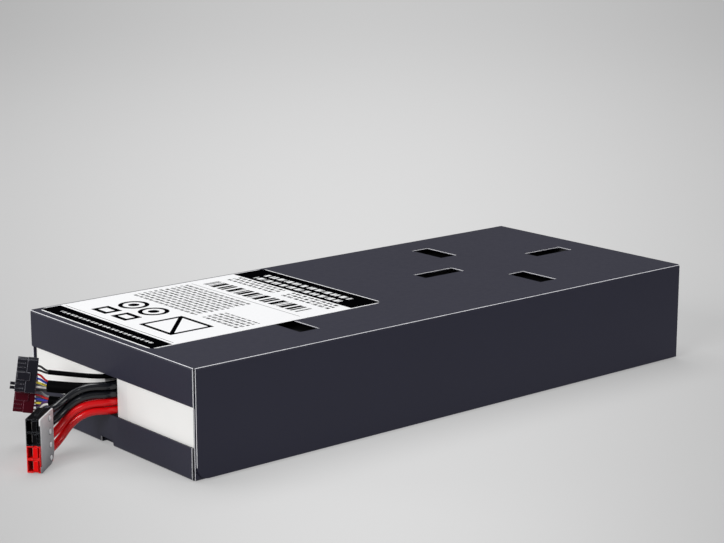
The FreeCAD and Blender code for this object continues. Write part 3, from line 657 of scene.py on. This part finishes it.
# Each wire's colour and the points of its smooth line, from its sleeve to its way.
WIRES = {
    "upper": (
        ("black", (-0.27162, 0.02534, 0.05409), (-0.27301, 0.02638, 0.05431),
         (-0.27545, 0.02914, 0.05743), (-0.27691, 0.03005, 0.05769)),
        ("black", (-0.27178, 0.02546, 0.05251), (-0.27312, 0.02646, 0.05272),
         (-0.27588, 0.02941, 0.05447), (-0.27729, 0.03029, 0.05472))),
    "middle": (
        ("red", (-0.27063, 0.02708, 0.04600), (-0.27201, 0.02871, 0.04611),
         (-0.27587, 0.02940, 0.05144), (-0.27767, 0.03052, 0.05175)),
        ("blue", (-0.27046, 0.02735, 0.04430), (-0.27181, 0.02893, 0.04441),
         (-0.27630, 0.02967, 0.04848), (-0.27804, 0.03076, 0.04879)),
        ("yellow", (-0.27045, 0.02749, 0.04260), (-0.27177, 0.02904, 0.04271),
         (-0.27671, 0.02992, 0.04552), (-0.27842, 0.03099, 0.04582)),
        ("white", (-0.27073, 0.02736, 0.04090), (-0.27204, 0.02889, 0.04102),
         (-0.27711, 0.03017, 0.04256), (-0.27880, 0.03123, 0.04285)),
        ("black", (-0.27267, 0.02578, 0.03990), (-0.27404, 0.02738, 0.04002),
         (-0.27581, 0.03290, 0.03957), (-0.27758, 0.03401, 0.03989))),
    "lower": (
        ("grey", (-0.26995, 0.02774, 0.03450), (-0.27168, 0.02974, 0.03466),
         (-0.27267, 0.03680, 0.03753), (-0.27489, 0.03819, 0.03792)),
        ("red", (-0.26972, 0.02809, 0.03280), (-0.27144, 0.03006, 0.03296),
         (-0.27307, 0.03705, 0.03457), (-0.27527, 0.03842, 0.03495)),
        ("blue", (-0.26979, 0.02817, 0.03110), (-0.27152, 0.03016, 0.03127),
         (-0.27342, 0.03727, 0.03160), (-0.27564, 0.03866, 0.03199)),
        ("yellow", (-0.27030, 0.02785, 0.02951), (-0.27210, 0.02991, 0.02968),
         (-0.27372, 0.03746, 0.02862), (-0.27602, 0.03889, 0.02902)),
        ("violet", (-0.27165, 0.02651, 0.03150), (-0.27402, 0.02922, 0.03173),
         (-0.27178, 0.03978, 0.02552), (-0.27481, 0.04167, 0.02605)),
        ("white", (-0.27158, 0.02672, 0.02970), (-0.27402, 0.02953, 0.02994),
         (-0.27205, 0.03995, 0.02253), (-0.27518, 0.04191, 0.02309))),
}
for name, wires in WIRES.items():
    for number, (colour, *points) in enumerate(wires):
        wire = flex(f"wire_{name}_{number + 1}_{colour}", points, WIRE_DIAMETER,
                    wire_finish[colour])
        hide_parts(f"sense_wires_{name}")
    diameter, length, points = SLEEVES[name]


# ---------------------------------------------------------------------------
# Label: a white polyester film on the cover, with a dark band across each end
# and generic rules, rows of bars and simple shapes between them.

ROW_SHIFT = 5.7           # how far each row's breaks are moved along from the last row's
SHORT_WORD = 0.62         # a second, shorter run of breaks makes them uneven
SHORT_GAP = 0.45


class Print:
    """Ink on the label, in millimetres from its corner at the lead end, near side."""

    def __init__(self, finish, corner):
        x, y, _ = finish.millimetres()
        self.up = x - corner[0]
        self.across = y - corner[1]

    def bar(self, low, high, first, last):
        """A filled box, low to high away from the leads and first to last across."""
        inside = (self.up > low) * (self.up < high)
        return inside * (self.across > first) * (self.across < last)

    def rows(self, low, high, first, last, pitch, weight, word, gap):
        """Rows of bars, broken at uneven places like lines of fine print."""
        step = (self.up - low) % pitch
        shift = (self.up - low) - step
        spot = self.across + shift * ROW_SHIFT
        gaps = ((spot % word > word * gap)
                * (spot % (word * SHORT_WORD) > word * gap * SHORT_GAP))
        return self.bar(low, high, first, last) * (step < weight) * gaps

    def frame(self, low, high, first, last, line):
        inner = self.bar(low + line, high - line, first + line, last - line)
        return self.bar(low, high, first, last) * (1.0 - inner)

    def ring(self, up, across, radius, line):
        a = self.up - up
        b = self.across - across
        away = a * a + b * b
        return (away < radius ** 2) * (away > (radius - line) ** 2)

    def slant(self, low, high, first, last, line):
        """A diagonal stroke from one corner of a box to the other."""
        rise = (high - low) / (last - first)
        off = abs(self.up - low - (self.across - first) * rise)
        return self.bar(low, high, first, last) * (off < line)


BORDER = 1.1
FRONT_BAND_END = 18.1
REAR_BAND_START = 175.9
BAND_INK = 0.92           # how far the pale rows take the ink off the bands
PALE_RULE_INK = 0.55
FINE_INK = 0.9
RULE, RULE_MARGIN = (20.6, 21.2), 4.0
PALE_RULE, PALE_RULE_MARGIN = (131.4, 132.4), 6.0

# Rows of bars: low, high, first, last, pitch, weight, word, gap.
FRONT_BAND_ROWS = (8.2, 10.8, 12.0, 130.0, 9.0, 2.6, 5.3, 0.34)
REAR_BAND_ROWS = (180.0, 199.0, 22.0, 126.0, 10.4, 5.8, 9.4, 0.26)
BOLD_ROWS = ((161.0, 174.0, 10.0, 66.0, 5.0, 2.8, 7.4, 0.26),
             (161.0, 174.0, 76.0, 134.0, 5.0, 2.8, 6.4, 0.26),
             (138.0, 153.0, 18.0, 134.0, 20.0, 15.0, 10.6, 0.24))
FINE_ROWS = ((77.0, 128.0, 58.0, 140.0, 4.8, 2.6, 6.6, 0.20),
             (77.0, 98.0, 8.0, 50.0, 4.8, 2.6, 6.6, 0.20))

# Simple shapes: two rings, each with a disc in it and a frame in front, and a struck-out frame.
RING_UP = 60.0
RING_ACROSS = (112.0, 86.0)
RING_RADIUS, RING_LINE = 11.5, 3.4
DISC_RADIUS = 4.2
RING_FRAME_UP = (29.0, 44.0)
RING_FRAME_HALF, RING_FRAME_LINE = 9.5, 4.0
STRUCK_FRAME = (31.0, 68.0, 22.0, 62.0)
STRUCK_LINE, STROKE = 3.2, 2.2


def film():
    """White film with the print on it in one flat ink."""
    finish = Finish("label_film")
    low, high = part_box("label")
    length = (high.x - low.x) * MM_PER_METRE
    width = (high.y - low.y) * MM_PER_METRE
    art = Print(finish, (low.x * MM_PER_METRE, low.y * MM_PER_METRE))
    bands = art.bar(BORDER, FRONT_BAND_END, BORDER, width - BORDER)
    bands = bands.most(art.bar(REAR_BAND_START, length - BORDER, BORDER, width - BORDER))
    pale = art.rows(*FRONT_BAND_ROWS).most(art.rows(*REAR_BAND_ROWS))
    marks = art.bar(*RULE, RULE_MARGIN, width - RULE_MARGIN)
    marks = marks.most(PALE_RULE_INK * art.bar(*PALE_RULE, PALE_RULE_MARGIN,
                                               width - PALE_RULE_MARGIN))
    for row in BOLD_ROWS:
        marks = marks.most(art.rows(*row))
    for row in FINE_ROWS:
        marks = marks.most(FINE_INK * art.rows(*row))
    for across in RING_ACROSS:
        marks = marks.most(art.ring(RING_UP, across, RING_RADIUS, RING_LINE))
        marks = marks.most(art.ring(RING_UP, across, DISC_RADIUS, DISC_RADIUS))
        marks = marks.most(art.frame(*RING_FRAME_UP, across - RING_FRAME_HALF,
                                     across + RING_FRAME_HALF, RING_FRAME_LINE))
    marks = marks.most(art.frame(*STRUCK_FRAME, STRUCK_LINE))
    marks = marks.most(art.slant(*STRUCK_FRAME, STROKE))
    ink = (bands * (1.0 - BAND_INK * pale)).most(marks)
    paper = finish.noise(size=0.004, detail=3)
    white = finish.mix(paper, rgb(0.865, 0.87, 0.88), rgb(0.89, 0.892, 0.90))
    tone = finish.mix(ink, white, rgb(0.001, 0.001, 0.0015))
    return finish.set(base_color=tone, roughness=0.6 + 0.08 * paper, specular=0.0,
                      normal=finish.bump(paper, distance=0.00004, strength=0.2))


give(film(), "label")
